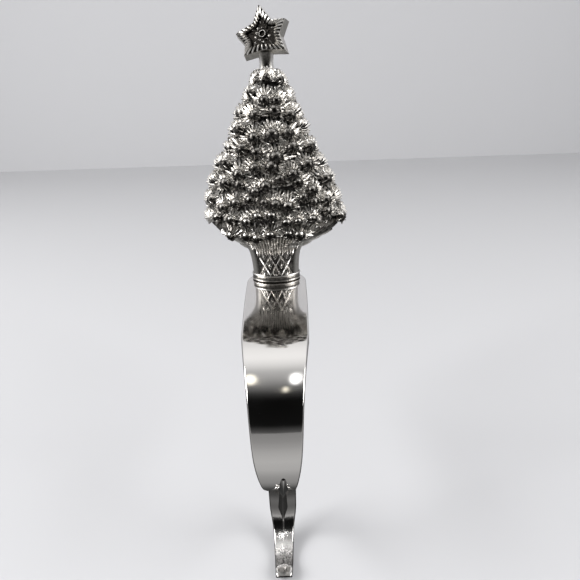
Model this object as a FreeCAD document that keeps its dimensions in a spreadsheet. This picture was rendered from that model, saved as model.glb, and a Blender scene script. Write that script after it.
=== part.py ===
import FreeCAD, Part
import Sketcher
import math
import os

# Stocking holder: a cast Christmas tree figure stands on the rear of a polished strap,
# which runs forward, bulges, turns back under itself and ends in a hook.
# Millimetres. Origin: on the tree's axis, at the underside of the felt. +X is the viewer's
# right, +Y the rear and +Z up, so the bulge and the hook lie on the -Y side.

doc = FreeCAD.newDocument("stocking_holder")
Vector = FreeCAD.Vector

# Driving sizes: one row each, name, value and what it measures.
SIZES = [
    ("pad_thick", 0.8, "felt under the tongue"),
    ("pad_margin", 0.9, "felt edge inside the tongue's edge"),
    ("pad_front", 50.0, "tree axis to the felt's front edge"),
    ("tongue_half", 14.4, "half width at the tongue's round end"),
    ("tongue_back", 3.5, "tree axis to the centre of the round end"),
    ("strap_thick", 4.2, "strap from front face to back face"),
    ("bend_start", 65.5, "tree axis to where the strap leaves the level"),
    ("bend_radius", 32.0, "outer radius of the bulge"),
    ("bend_turn", 137.0, "degrees turned by the bulge"),
    ("shoulder_turn", 57.0, "degrees into the bulge at the shoulder width"),
    ("run_length", 30.1, "straight run back under the bulge"),
    ("neck_radius", 12.0, "front radius from the run to the upright heel"),
    ("heel_length", 4.0, "upright flat of the heel, above the hook"),
    ("bowl_radius", 12.0, "hook's inner radius behind"),
    ("bowl_turn", 47.0, "degrees turned by the hook's rear arc"),
    ("lip_radius", 15.0, "hook's inner radius in front"),
    ("lip_turn", 78.0, "degrees turned by the hook's front arc"),
    ("width_edge", 26.3, "strap width where the bulge starts"),
    ("width_shoulder", 20.1, "strap width at the shoulder"),
    ("width_front", 17.8, "strap width at the foremost point"),
    ("width_run", 13.0, "strap width where the run starts"),
    ("width_heel", 12.1, "strap width at the heel"),
    ("width_bowl", 9.4, "strap width at the hook's rear arc"),
    ("width_tip", 7.0, "strap width at the hook's blunt tip"),
    ("ridge_height", 0.9, "median ridge over the hook's edges"),
    ("keel_lead", 15.0, "keel's front point to the end of the bulge, along the strap"),
    ("keel_peak", 3.0, "keel's highest place to the end of the bulge, along the strap"),
    ("keel_height", 2.6, "keel over the strap's front at its highest place"),
    ("keel_half", 2.1, "half width of the keel at its highest place"),
    ("keel_least", 0.3, "keel over the strap's front at both ends"),
    ("keel_sunk", 0.6, "keel's foot below the strap's front face"),
    ("edge_bevel", 0.8, "bevel along the strap's front edges"),
    ("screw_radius", 2.0, "fixing screw shank"),
    ("screw_depth", 9.0, "screw thread inside the figure"),
    ("head_radius", 3.6, "screw head"),
    ("head_height", 1.6, "screw head"),
    ("slot_width", 1.0, "driver slot in the screw head"),
    ("slot_depth", 0.8, "driver slot in the screw head"),
    ("overcut", 1.0, "how far a cut starts outside the metal"),
    ("running_clear", 0.25, "radial clearance of the screw in the strap"),
    ("thread_clear", 0.05, "radial clearance of the screw in its thread"),
    ("ring_half", 11.9, "half width of the figure's oval foot"),
    ("ring_depth", 7.8, "half depth of the figure's oval foot"),
    ("ring_height", 3.8, "oval foot from the strap to the basket"),
    ("ring_groove", 0.6, "groove round the oval foot"),
    ("tree_front", 12.2, "foliage bulge in front of the axis"),
    ("tree_rear", 6.2, "plain back behind the axis"),
    ("row_first", 28.6, "height of the lowest row of balls"),
    ("row_pitch", 7.6, "height from one row of balls to the next"),
    ("row_last", 98.0, "no row of balls above this height"),
    ("ball_pitch", 6.8, "spacing of the balls along a row"),
    ("ball_radius", 1.9, "bead in the middle of each tuft"),
    ("ball_rise", 0.6, "bead's centre over the foliage surface"),
    ("tuft_near", 2.0, "bead's centre to the inner ends of its needles"),
    ("tuft_reach", 4.6, "bead's centre to the tips of its needles"),
    ("tuft_rise", 1.5, "needle's inner end over the foliage surface"),
    ("tuft_fall", 0.6, "needle's tip over the foliage surface"),
    ("tuft_sunk", 1.6, "needle's root under the foliage surface"),
    ("tuft_turn", 80.0, "degrees across a fan of needles"),
    ("tuft_lean", 40.0, "degrees that the outermost fans lean outwards"),
    ("needle_depth", 0.7, "valley between two needles"),
    ("edge_inset", 3.2, "fan on the outline, its centre inside the edge"),
    ("edge_reach", 6.8, "fan on the outline, its centre to its tips"),
    ("edge_lean", 60.0, "degrees that a fan on the outline leans outwards"),
    ("row_inset", 1.0, "end of a row of balls inside the edge"),
    ("flare_top", 34.0, "height up to which the sides of the flare stay smooth"),
    ("flare_share", 0.62, "part of the flare's width that carries balls"),
    ("stem_radius", 3.2, "stem that carries the star"),
    ("stem_top", 108.0, "top of the stem, inside the star"),
    ("stem_lap", 3.0, "stem inside the top of the foliage"),
    ("star_height", 114.4, "height of the star's middle"),
    ("star_offset", -1.1, "star's middle from the tree's axis"),
    ("star_thick", 5.2, "star from front to back"),
    ("star_growth", 1.07, "outline at the back against the outline in front"),
    ("star_border", 0.6, "inner edge of the raised border against its outer edge"),
    ("star_recess", 0.9, "depth inside the raised border"),
    ("star_lean", 18.0, "degrees the star leans back"),
    ("star_yaw", 17.0, "degrees the star faces to the left"),
    ("rib_width", 0.8, "ribs across the star's border"),
    ("rib_height", 0.45, "ribs over the star's border"),
    ("boss_radius", 1.6, "ring in the middle of the star"),
    ("boss_bore", 0.9, "hollow of that ring"),
    ("lattice_height", 0.45, "basket ribs over the basket's surface"),
    ("lattice_width", 0.9, "basket ribs at their foot"),
    ("lattice_sunk", 0.6, "basket ribs' foot under the basket's surface"),
    ("lattice_top", 21.5, "height where the basket ribs end"),
    ("lattice_half", 9.0, "half width of the ribbed front"),
]

# Outline of the basket and foliage: height, reach to the left and reach to the right.
OUTLINE = [
    (8.4, 11.2, 11.2),
    (13.5, 11.6, 11.4),
    (19.0, 12.6, 12.2),
    (23.0, 15.0, 14.4),
    (25.5, 17.6, 18.2),
    (28.0, 21.2, 23.4),
    (31.5, 26.2, 29.8),
    (36.0, 30.8, 32.6),
    (41.0, 31.2, 31.8),
    (50.0, 28.6, 27.6),
    (60.0, 24.2, 22.8),
    (70.0, 18.0, 17.6),
    (80.0, 14.4, 12.6),
    (90.0, 9.6, 9.2),
    (98.0, 6.2, 5.8),
    (101.5, 4.2, 4.4),
]

# Points and notches of the star in its own plane, from the top point on to the left: across and up.
STAR_POINTS = [
    (-2.4, 12.3),
    (-4.6, 4.9),
    (-12.1, 0.6),
    (-7.6, -4.0),
    (-7.7, -8.8),
    (1.6, -6.6),
    (10.4, -6.8),
    (7.7, -0.3),
    (9.6, 5.9),
    (3.6, 5.7),
]

sheet = doc.addObject("Spreadsheet::Sheet", "sizes")
row_number = 0


def add_size(alias, value, meaning):
    """Put one driving size into the sheet."""
    global row_number
    row_number += 1
    sheet.set("A%d" % row_number, meaning)
    sheet.set("B%d" % row_number, str(value))
    sheet.setAlias("B%d" % row_number, alias)


for alias, value, meaning in SIZES:
    add_size(alias, value, meaning)
for level, (height, left, right) in enumerate(OUTLINE):
    add_size("level_height_%d" % level, height, "outline level %d, height" % level)
    add_size("level_left_%d" % level, left, "outline level %d, reach to the left" % level)
    add_size("level_right_%d" % level, right, "outline level %d, reach to the right" % level)
for corner, (across, up) in enumerate(STAR_POINTS):
    add_size("star_across_%d" % corner, across, "star corner %d, across" % corner)
    add_size("star_up_%d" % corner, up, "star corner %d, up" % corner)
doc.recompute()


def size(alias):
    """Read one driving size back from the sheet."""
    return float(sheet.get(alias))


def feature(label, shape):
    """A document object that carries a shape made below."""
    item = doc.addObject("Part::Feature", label)
    item.Shape = shape
    item.Label = label
    item.Placement = FreeCAD.Placement()
    return item


def ring_solid(rings):
    """Closed solid through equal rings of points, with flat facets and a cap at each end."""
    faces = []
    count = len(rings[0])
    for near, far in zip(rings, rings[1:]):
        for i in range(count):
            j = (i + 1) % count
            for corners in ((near[i], near[j], far[j]), (near[i], far[j], far[i])):
                faces.append(Part.Face(Part.makePolygon(list(corners) + [corners[0]])))
    for cap in (rings[0], rings[-1]):
        faces.append(Part.Face(Part.makePolygon(list(cap) + [cap[0]])))
    shell = Part.Shell(faces)
    shell.sewShape()
    solid = Part.Solid(shell)
    if solid.Volume < 0:
        solid.reverse()
    return solid


# Strap

PLATE_TOP = size("pad_thick") + size("strap_thick")
# Sections along each stretch of the strap, then where its ridge starts on the run and how much of
# the keel's height is left at the neck.
BEND_STEPS = 10
RUN_STEPS = 6
ARC_STEPS = 5
LIP_STEPS = 8
RIDGE_START = 0.8
KEEL_AT_NECK = 0.8


def turtle_stations():
    """Stations down the strap's front face: length, y, z, heading and segment number.

    A heading of 0 degrees points at the viewer, 90 straight down and 137 back under the bulge.
    """
    segments = [
        (size("bend_radius"), size("bend_turn"), BEND_STEPS),
        (None, size("run_length"), RUN_STEPS),
        (size("neck_radius"), 90.0 - size("bend_turn"), ARC_STEPS),
        (None, size("heel_length"), 1),
        (size("bowl_radius"), -size("bowl_turn"), ARC_STEPS),
        (size("lip_radius"), -size("lip_turn"), LIP_STEPS),
    ]
    y, z, heading, length = -size("bend_start"), PLATE_TOP, 0.0, 0.0
    stations = [(length, y, z, heading, 0)]
    for number, (radius, amount, steps) in enumerate(segments):
        for _ in range(steps):
            angle = math.radians(heading)
            if radius is None:
                step = amount / steps
                y -= step * math.cos(angle)
                z -= step * math.sin(angle)
            else:
                turn = amount / steps
                step = radius * math.radians(abs(turn))
                middle = math.radians(heading + turn / 2)
                chord = 2 * radius * math.sin(math.radians(abs(turn)) / 2)
                y -= chord * math.cos(middle)
                z -= chord * math.sin(middle)
                heading += turn
            length += step
            stations.append((length, y, z, heading, number))
    return stations


def segment_end(stations, number):
    """Length along the strap at which a segment ends."""
    return max(s[0] for s in stations if s[4] == number)


def between(table, place):
    """Straight-line value of a table of (place, value) rows."""
    for (a, value_a), (b, value_b) in zip(table, table[1:]):
        if place <= b:
            share = (place - a) / (b - a)
            return value_a + share * (value_b - value_a)
    return table[-1][1]


def strap_section(y, z, heading, width, ridge):
    """Outline of the strap across its length: flat or ridged front with bevels, and flat back."""
    bevel, thick = size("edge_bevel"), size("strap_thick")
    angle = math.radians(heading)
    normal = Vector(0, -math.sin(angle), math.cos(angle))
    half = width / 2
    profile = [
        (0, 0),
        (half - bevel, -ridge),
        (half, -ridge - bevel),
        (half, -thick),
        (-half, -thick),
        (-half, -ridge - bevel),
        (bevel - half, -ridge),
    ]
    return [Vector(across, y, z) + normal * out for across, out in profile]


def closed_wire(points):
    """Polygon wire through the points and back to the first."""
    return Part.makePolygon(points + [points[0]])


def keel_shape(stations, bulge_end, neck_end, last):
    """Keel with two facets and a sharp spine: it rises on the bulge and dies away in the hook."""
    first, peak = bulge_end - size("keel_lead"), bulge_end - size("keel_peak")
    least = size("keel_least")
    table = [(first, 0), (peak, 1), (neck_end, KEEL_AT_NECK), (last, 0)]
    rings = []
    for length, y, z, heading, _ in stations:
        if first <= length <= last:
            share = between(table, length)
            angle = math.radians(heading)
            normal = Vector(0, -math.sin(angle), math.cos(angle))
            place = Vector(0, y, z)
            half = Vector(least + share * (size("keel_half") - least), 0, 0)
            sunk = normal * -size("keel_sunk")
            if length > bulge_end:
                sunk = normal * -(size("keel_sunk") + size("ridge_height"))
            rings.append([
                place + normal * (least + share * (size("keel_height") - least)),
                place + half + sunk,
                place - half + sunk,
            ])
    return ring_solid(rings)


def strap_shape():
    """The strap as one casting: round tongue, bulge, run, heel and ridged hook."""
    stations = turtle_stations()
    ends = [segment_end(stations, n) for n in range(6)]
    shoulder = ends[0] * size("shoulder_turn") / size("bend_turn")
    widths = [
        (0, size("width_edge")),
        (shoulder, size("width_shoulder")),
        (ends[0] * 90.0 / size("bend_turn"), size("width_front")),
        (ends[0], size("width_run")),
        (ends[3], size("width_heel")),
        (ends[4], size("width_bowl")),
        (ends[5], size("width_tip")),
    ]
    ridge = size("ridge_height")
    ridges = [(0, 0), (ends[1] * RIDGE_START, 0), (ends[2], ridge), (ends[5], ridge)]

    def section(station):
        length, y, z, heading, _ = station
        return strap_section(y, z, heading, between(widths, length), between(ridges, length))

    def span(first, last):
        return [section(s) for s in stations if first <= s[0] <= last]

    bulge = Part.makeLoft([closed_wire(points) for points in span(0, ends[2])], True, False)
    heel = ring_solid(span(ends[2], ends[3]))
    hook = ring_solid(span(ends[3], ends[5]))
    keel = keel_shape(stations, ends[0], ends[2], ends[4])
    wide, back, overcut = 2 * size("tongue_half"), -size("tongue_back"), size("overcut")
    rear = strap_section(back, PLATE_TOP, 0, wide, 0)
    tongue = ring_solid([rear, section(stations[0])])
    half_section = Part.Face(closed_wire(rear)).common(Part.makeBox(
        wide, 2 * overcut, 2 * PLATE_TOP, Vector(0, back - overcut, 0)))
    round_end = half_section.revolve(Vector(0, back, 0), Vector(0, 0, 1), 180)
    return tongue.multiFuse([round_end, bulge, heel, hook, keel]).removeSplitter()


def screw_cylinder(label, radius, height, base):
    """Cylinder on the tree's axis, its sizes bound to the sheet."""
    item = doc.addObject("Part::Cylinder", label)
    item.setExpression("Radius", radius)
    item.setExpression("Height", height)
    item.setExpression("Placement.Base.z", base)
    return item


strap = feature("strap", strap_shape())
shank_hole = screw_cylinder(
    "shank_hole",
    "sizes.screw_radius + sizes.running_clear",
    "sizes.strap_thick",
    "sizes.pad_thick",
)
head_recess = screw_cylinder(
    "head_recess",
    "sizes.head_radius + sizes.running_clear",
    "sizes.head_height",
    "sizes.pad_thick",
)
screw_holes = doc.addObject("Part::Fuse", "screw_holes")
screw_holes.Base = shank_hole
screw_holes.Tool = head_recess
arm = doc.addObject("Part::Cut", "arm")
arm.Base = strap
arm.Tool = screw_holes
arm.Label = "arm"

# Fixing screw

screw_head = screw_cylinder("screw_head", "sizes.head_radius", "sizes.head_height", "sizes.pad_thick")
screw_shank = screw_cylinder(
    "screw_shank",
    "sizes.screw_radius",
    "sizes.strap_thick - sizes.head_height + sizes.screw_depth",
    "sizes.pad_thick + sizes.head_height",
)
screw_blank = doc.addObject("Part::Fuse", "screw_blank")
screw_blank.Base = screw_head
screw_blank.Tool = screw_shank
slot = doc.addObject("Part::Box", "driver_slot")
slot.setExpression("Length", "2 * sizes.head_radius + 2 * sizes.overcut")
slot.setExpression("Width", "sizes.slot_width")
slot.setExpression("Height", "sizes.slot_depth")
slot.setExpression("Placement.Base.x", "-sizes.head_radius - sizes.overcut")
slot.setExpression("Placement.Base.y", "-sizes.slot_width / 2")
slot.setExpression("Placement.Base.z", "sizes.pad_thick")
screw = doc.addObject("Part::Cut", "fixing_screw")
screw.Base = screw_blank
screw.Tool = slot
screw.Label = "fixing_screw"

# Felt pad


def felt_pad():
    """Felt sheet under the tongue: a sketch of its outline, padded to the felt's thickness."""
    body = doc.addObject("PartDesign::Body", "felt_pad")
    body.Label = "felt_pad"
    sketch = body.newObject("Sketcher::SketchObject", "felt_outline")
    plane = [f for f in body.Origin.OriginFeatures if f.Role == "XY_Plane"][0]
    sketch.AttachmentSupport = (plane, [""])
    sketch.MapMode = "FlatFace"
    half, back, front = size("width_edge") / 2 - size("pad_margin"), -size("tongue_back"), -size("pad_front")
    sketch.addGeometry([
        Part.ArcOfCircle(Part.Circle(Vector(0, back, 0), Vector(0, 0, 1), half), 0, math.pi),
        Part.LineSegment(Vector(-half, back, 0), Vector(-half, front, 0)),
        Part.LineSegment(Vector(-half, front, 0), Vector(half, front, 0)),
        Part.LineSegment(Vector(half, front, 0), Vector(half, back, 0)),
    ], False)
    rules = [
        ("Tangent", 0, 2, 1, 1),
        ("Coincident", 1, 2, 2, 1),
        ("Coincident", 2, 2, 3, 1),
        ("Tangent", 3, 2, 0, 1),
        ("PointOnObject", 0, 3, -2),
        ("Vertical", 1),
        ("Vertical", 3),
        ("Horizontal", 2),
    ]
    for rule in rules:
        sketch.addConstraint(Sketcher.Constraint(*rule))
    radius = sketch.addConstraint(Sketcher.Constraint("Radius", 0, half))
    centre = sketch.addConstraint(Sketcher.Constraint("DistanceY", 0, 3, -1, 1, -back))
    edge = sketch.addConstraint(Sketcher.Constraint("DistanceY", 2, 1, -1, 1, -front))
    sketch.setExpression("Constraints[%d]" % radius, "sizes.width_edge / 2 - sizes.pad_margin")
    sketch.setExpression("Constraints[%d]" % centre, "sizes.tongue_back")
    sketch.setExpression("Constraints[%d]" % edge, "sizes.pad_front")
    pad = body.newObject("PartDesign::Pad", "felt_sheet")
    pad.Profile = sketch
    pad.setExpression("Length", "sizes.pad_thick")
    body.Tip = pad
    return body


felt = felt_pad()

# Tree figure

# Levels of the outline, and corners round the foliage and round the stem.
LEVELS = len(OUTLINE)
ROUND_POINTS = 28
ROD_POINTS = 12

# Share of the foot's height, and depth against the groove's depth.
FOOT_PROFILE = [(0, 0.5), (0.1, 0), (0.2, 0), (0.27, 1), (0.62, 1), (0.7, 0), (0.88, 0), (1, 0.7)]

# Share of the stem's height, and radius against the stem's radius.
STEM_PROFILE = [(0, 1.2), (0.4, 1.0), (0.7, 1.0), (1, 1.15)]

# Front and back depth of the foliage: least share of it, and how fast it fills out below.
LEAST_DEPTH = 0.25
FULLNESS_POWER = 0.7


def level(kind):
    """One column of the outline: height, left or right."""
    return [size("level_%s_%d" % (kind, i)) for i in range(LEVELS)]


HEIGHTS, LEFTS, RIGHTS = level("height"), level("left"), level("right")
WIDEST = max(LEFTS)
WIDEST_HEIGHT = HEIGHTS[LEFTS.index(WIDEST)]


def reach(z):
    """Left reach, right reach, front bulge and back bulge of the foliage at a height."""
    left = between(list(zip(HEIGHTS, LEFTS)), z)
    right = between(list(zip(HEIGHTS, RIGHTS)), z)
    half, waist, foot = (left + right) / 2, LEFTS[0], size("ring_depth")
    if z > WIDEST_HEIGHT:
        shrink = LEAST_DEPTH + (1 - LEAST_DEPTH) * half / WIDEST
        return left, right, size("tree_front") * shrink, size("tree_rear") * shrink
    fullness = max(0.0, (half - waist) / (WIDEST - waist)) ** FULLNESS_POWER
    front = foot + fullness * (size("tree_front") - foot)
    rear = foot + fullness * (size("tree_rear") - foot)
    return left, right, front, rear


def section_point(z, angle):
    """Point of the foliage surface at a height, seen from above; 0 is right, 90 the front."""
    left, right, front, rear = reach(z)
    across, out = math.cos(math.radians(angle)), math.sin(math.radians(angle))
    x = across * (right if across > 0 else left)
    y = -out * (front if out > 0 else rear)
    return Vector(x, y, z)


def oval_ring(z, half, depth, count):
    """Points round an upright oval at one height."""
    turns = [2 * math.pi * i / count for i in range(count)]
    return [Vector(half * math.cos(t), -depth * math.sin(t), z) for t in turns]


def mass_shape():
    """Basket and foliage mass: level rings of the outline, joined by flat facets."""
    rings = []
    for z in HEIGHTS:
        rings.append([section_point(z, 360.0 * i / ROUND_POINTS) for i in range(ROUND_POINTS)])
    return ring_solid(rings)


def ring_shape():
    """Oval foot with a rounded bead below and above a groove."""
    base, tall, half = PLATE_TOP, size("ring_height"), size("ring_half")
    groove, ratio = size("ring_groove"), size("ring_depth") / size("ring_half")
    rings = []
    for share, depth in FOOT_PROFILE:
        reach_out = half - depth * groove
        rings.append(oval_ring(base + share * tall, reach_out, reach_out * ratio, ROUND_POINTS))
    return ring_solid(rings)


# Least squared share of the front bulge at the outline, and the step that directions are read over.
EDGE_LEAST = 0.02
PROBE = 0.5


def surface_frame(x, z):
    """Point on the foliage's front over (x, z), with its outward, right and up directions."""
    def at(px, pz):
        left, right, front, _ = reach(pz)
        share = px / (right if px > 0 else left)
        return Vector(px, -front * math.sqrt(max(EDGE_LEAST, 1 - share * share)), pz)
    step = PROBE
    place = at(x, z)
    right = (at(x + step, z) - at(x - step, z)).normalize()
    up = (at(x, z + step) - at(x, z - step)).normalize()
    out = right.cross(up).normalize()
    return place, out, right, out.cross(right)


# Needles in a fan, facets of a bead, a valley's and a root's reach against a needle's, and how far
# a row of beads is shifted against the next one, in beads.
NEEDLES = 3
BALL_CORNERS = 6
BALL_LATITUDES = (-25, 30, 68)
VALLEY_SHARE = 0.84
ROOT_SHARE = 0.6
ROW_SHIFT = 0.25


def ball(place, out, right, up):
    """Faceted bead, half sunk into the foliage."""
    radius = size("ball_radius")
    rings = []
    for latitude in BALL_LATITUDES:
        tall, wide = math.sin(math.radians(latitude)), math.cos(math.radians(latitude))
        ring = []
        for i in range(BALL_CORNERS):
            turn = 2 * math.pi * i / BALL_CORNERS
            flat = right * (wide * math.cos(turn)) + up * (wide * math.sin(turn))
            ring.append(place + (flat + out * tall) * radius)
        rings.append(ring)
    return ring_solid(rings)


def tuft(place, out, right, up, lean, far):
    """Fan of needles arching away from a bead, as one pleated wedge sunk into the foliage."""
    columns = 2 * NEEDLES - 1
    rings = []
    for i in range(columns):
        angle = math.radians(lean + size("tuft_turn") * (i / (columns - 1) - 0.5))
        spoke = up * math.cos(angle) + right * math.sin(angle)
        crest = i % 2 == 0
        drop = 0 if crest else size("needle_depth")
        tip = far if crest else VALLEY_SHARE * far
        rings.append([
            place + spoke * size("tuft_near") + out * (size("tuft_rise") - drop),
            place + spoke * tip + out * (size("tuft_fall") - drop),
            place + spoke * (ROOT_SHARE * far) - out * size("tuft_sunk"),
        ])
    return ring_solid(rings)


def edge_tufts(z):
    """Fan on the left and on the right of the outline at one height."""
    left, right, _, _ = reach(z)
    pieces = []
    for side, half in ((-1, left), (1, right)):
        centre = Vector(side * (half - size("edge_inset")), 0, z)
        lean = side * size("edge_lean")
        out, across, up = Vector(0, -1, 0), Vector(1, 0, 0), Vector(0, 0, 1)
        pieces.append(tuft(centre, out, across, up, lean, size("edge_reach")))
    return pieces


def foliage():
    """Rows of tufts over the foliage's front, each with its bead, and fans along its outline."""
    pieces = []
    z = size("row_first")
    odd = False
    while z < size("row_last"):
        left, right, _, _ = reach(z)
        low, high = size("row_inset") - left, right - size("row_inset")
        if z < size("flare_top"):
            low, high = size("flare_share") * low, size("flare_share") * high
        else:
            pieces += edge_tufts(z)
        count = max(2, int(round((high - low) / size("ball_pitch"))))
        shift = ROW_SHIFT if odd else -ROW_SHIFT
        for i in range(count):
            x = low + (high - low) * (i + 0.5 + shift) / count
            place, out, across, up = surface_frame(x, z)
            lean = size("tuft_lean") * x / max(left, right)
            pieces.append(tuft(place, out, across, up, lean, size("tuft_reach")))
            pieces.append(ball(place + out * size("ball_rise"), out, across, up))
        z += size("row_pitch")
        odd = not odd
    return pieces


# Outer ends of the border's ribs against the star's outline, their places along each edge, and
# the ring boss over the border.
RIB_OUTER = 0.95
RIB_SHARES = (0.25, 0.5, 0.75)
BOSS_RISE = 0.3


def star_outline(scale, depth):
    """Ten-cornered outline of the star in its own upright plane, facing -Y."""
    corners = []
    for i in range(len(STAR_POINTS)):
        across, up = size("star_across_%d" % i), size("star_up_%d" % i)
        corners.append(Vector(scale * across, depth, scale * up))
    return corners


def border_ribs(front):
    """Ribs across the star's raised border, from its outer edge to its inner one."""
    outer, inner = star_outline(RIB_OUTER, front), star_outline(size("star_border"), front)
    half, tall = size("rib_width") / 2, size("rib_height")
    ribs = []
    for i in range(len(outer)):
        j = (i + 1) % len(outer)
        along = (outer[j] - outer[i]).normalize() * half
        for share in RIB_SHARES:
            near = outer[i] + (outer[j] - outer[i]) * share
            far = inner[i] + (inner[j] - inner[i]) * share
            rings = []
            for place in (near, far):
                rings.append([
                    place + Vector(0, -tall, 0),
                    place + along + Vector(0, tall, 0),
                    place - along + Vector(0, tall, 0),
                ])
            ribs.append(ring_solid(rings))
    return ribs


def rod(radius, near, far):
    """Short round rod along Y."""
    turns = [2 * math.pi * i / ROD_POINTS for i in range(ROD_POINTS)]
    ends = []
    for depth in (near, far):
        ends.append([Vector(radius * math.cos(t), depth, radius * math.sin(t)) for t in turns])
    return ring_solid(ends)


def star_shape():
    """Thick star with drafted walls, a ribbed border and a ring boss."""
    front, back, recess = -size("star_thick") / 2, size("star_thick") / 2, size("star_recess")
    slab = ring_solid([star_outline(1, front), star_outline(size("star_growth"), back)])
    inside = size("star_border")
    outside = front - size("overcut")
    hollow = ring_solid([star_outline(inside, outside), star_outline(inside, front + recess)])
    star = slab.cut(hollow).multiFuse(border_ribs(front))
    boss = rod(size("boss_radius"), front - BOSS_RISE, front + recess + BOSS_RISE)
    bore = rod(size("boss_bore"), outside, front + recess)
    star = star.fuse(boss).cut(bore)
    star.rotate(Vector(0, 0, 0), Vector(1, 0, 0), -size("star_lean"))
    star.rotate(Vector(0, 0, 0), Vector(0, 0, 1), -size("star_yaw"))
    star.translate(Vector(size("star_offset"), 0, size("star_height")))
    return star


def stem_shape():
    """Waisted stem from the foliage's top to the star."""
    low, high, radius = HEIGHTS[-1] - size("stem_lap"), size("stem_top"), size("stem_radius")
    rings = []
    for share, wide in STEM_PROFILE:
        rings.append(oval_ring(low + share * (high - low), radius * wide, radius * wide, ROD_POINTS))
    stem = ring_solid(rings)
    stem.translate(Vector(size("star_offset") / 2, 0, 0))
    return stem


# Diamonds across the basket, steps along a rib, height of the lower rib where two cross against
# the upper one, and the ribs' lap over the foot in millimetres.
DIAMONDS = 5
OVER_STEPS = 4
UNDER_STEPS = 5
UNDER_RIB = 0.85
LATTICE_LAP = 0.2


def lattice_rib(x_low, x_high, steps, tall):
    """One slanting rib on the basket's front."""
    low, high = PLATE_TOP + size("ring_height") - LATTICE_LAP, size("lattice_top")
    half = size("lattice_width") / 2
    rings = []
    for i in range(steps + 1):
        share = i / steps
        x = x_low + share * (x_high - x_low)
        z = low + share * (high - low)
        place, out, across, _ = surface_frame(x, z)
        rings.append([
            place + across * half - out * size("lattice_sunk"),
            place + out * tall,
            place - across * half - out * size("lattice_sunk"),
        ])
    return ring_solid(rings)


def lattice():
    """Crossing ribs that make the diamonds of the basket."""
    half = size("lattice_half")
    pitch = 2 * half / DIAMONDS
    over, under = size("lattice_height"), UNDER_RIB * size("lattice_height")
    ribs = []
    for i in range(DIAMONDS):
        start = -half + i * pitch
        ribs.append(lattice_rib(start, start + pitch, OVER_STEPS, over))
        ribs.append(lattice_rib(start + pitch, start, UNDER_STEPS, under))
    return ribs[0].multiFuse(ribs[1:])


def tree_shape():
    """The whole figure as one casting."""
    others = [ring_shape(), stem_shape(), star_shape(), lattice()]
    return mass_shape().multiFuse(foliage() + others).removeSplitter()


figure = feature("figure", tree_shape())
thread_hole = screw_cylinder(
    "thread_hole",
    "sizes.screw_radius + sizes.thread_clear",
    "sizes.screw_depth + sizes.overcut",
    "sizes.pad_thick + sizes.strap_thick",
)
tree = doc.addObject("Part::Cut", "tree_figure")
tree.Base = figure
tree.Tool = thread_hole
tree.Label = "tree_figure"

doc.recompute()

# Checks, then one file for each piece

for item in doc.Objects:
    if "Invalid" in item.State or "Error" in item.State:
        raise RuntimeError("%s failed: %s" % (item.Label, item.State))

os.makedirs("parts", exist_ok=True)
for item in (arm, tree, screw, felt):
    shape = item.Shape
    if shape.isNull() or not shape.isValid():
        raise RuntimeError("%s has no valid shape" % item.Label)
    shape.exportStep("parts/%s.step" % item.Label)
    print("%-14s solids %d  faces %4d  volume %.0f" % (
        item.Label, len(shape.Solids), len(shape.Faces), shape.Volume))
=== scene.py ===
import math
import random
from collections import namedtuple

import bpy
from mathutils import Matrix, Vector


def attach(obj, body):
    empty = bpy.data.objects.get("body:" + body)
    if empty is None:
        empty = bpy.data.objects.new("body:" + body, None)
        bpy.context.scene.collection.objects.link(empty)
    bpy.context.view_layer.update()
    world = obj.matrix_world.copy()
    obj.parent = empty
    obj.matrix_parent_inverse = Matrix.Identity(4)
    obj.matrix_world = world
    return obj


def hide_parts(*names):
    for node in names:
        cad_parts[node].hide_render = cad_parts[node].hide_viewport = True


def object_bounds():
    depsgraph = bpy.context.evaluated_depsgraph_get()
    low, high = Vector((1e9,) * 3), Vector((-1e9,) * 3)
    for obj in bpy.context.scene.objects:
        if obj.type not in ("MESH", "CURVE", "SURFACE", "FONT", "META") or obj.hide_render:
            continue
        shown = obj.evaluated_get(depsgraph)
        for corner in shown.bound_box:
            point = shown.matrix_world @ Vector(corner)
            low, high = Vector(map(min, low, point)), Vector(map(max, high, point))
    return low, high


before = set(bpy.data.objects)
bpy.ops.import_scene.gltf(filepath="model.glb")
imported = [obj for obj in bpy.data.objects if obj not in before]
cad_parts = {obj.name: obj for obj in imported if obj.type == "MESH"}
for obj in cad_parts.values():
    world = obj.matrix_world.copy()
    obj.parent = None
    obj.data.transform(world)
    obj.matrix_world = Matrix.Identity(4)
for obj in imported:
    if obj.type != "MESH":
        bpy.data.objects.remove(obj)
cad_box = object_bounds()

MM = 0.001
random.seed(7)

# Sizes of the strap in millimetres, as in the part, but 0.06 thinner to stay inside its solid

PLATE_TOP = 5.0
STRAP_THICK = 4.14
TONGUE_HALF = 14.4
TONGUE_BACK = 3.5
BEND_START = 65.5
BEND_RADIUS = 32.0
BEND_TURN = 137.0
RUN_LENGTH = 30.1
NECK_RADIUS = 12.0
HEEL_LENGTH = 4.0
BOWL_RADIUS = 12.0
BOWL_TURN = 47.0
LIP_RADIUS = 15.0
LIP_TURN = 78.0
SHOULDER_TURN = 57.0
FOREMOST_TURN = 90.0
RIDGE_HEIGHT = 0.9
# Where the ridge starts, as a share of the length down to the end of the run
RIDGE_START = 0.86
# Blunt tip: distance back from its end and fall of its front, and the sides' share of that fall
TIP_FALL = [(2.4, 0.02), (0.8, 1.3), (0.0, 2.7)]
TIP_DRAW = 0.3
FRONT_ROUND = 0.8
BACK_ROUND = 0.5
ROUND_STEPS = 6
# Rows of the edge's profile that get painted reflections of their own, mostly darker than the face
EDGE_ROWS = range(2, 11)
STATION_STEP = 0.8
SIDE_STEPS, BACK_STEPS = 14, 48


# Mesh helpers


def linked(name, data):
    """Object with the given data, linked to the scene."""
    item = bpy.data.objects.new(name, data)
    bpy.context.scene.collection.objects.link(item)
    return item


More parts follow.
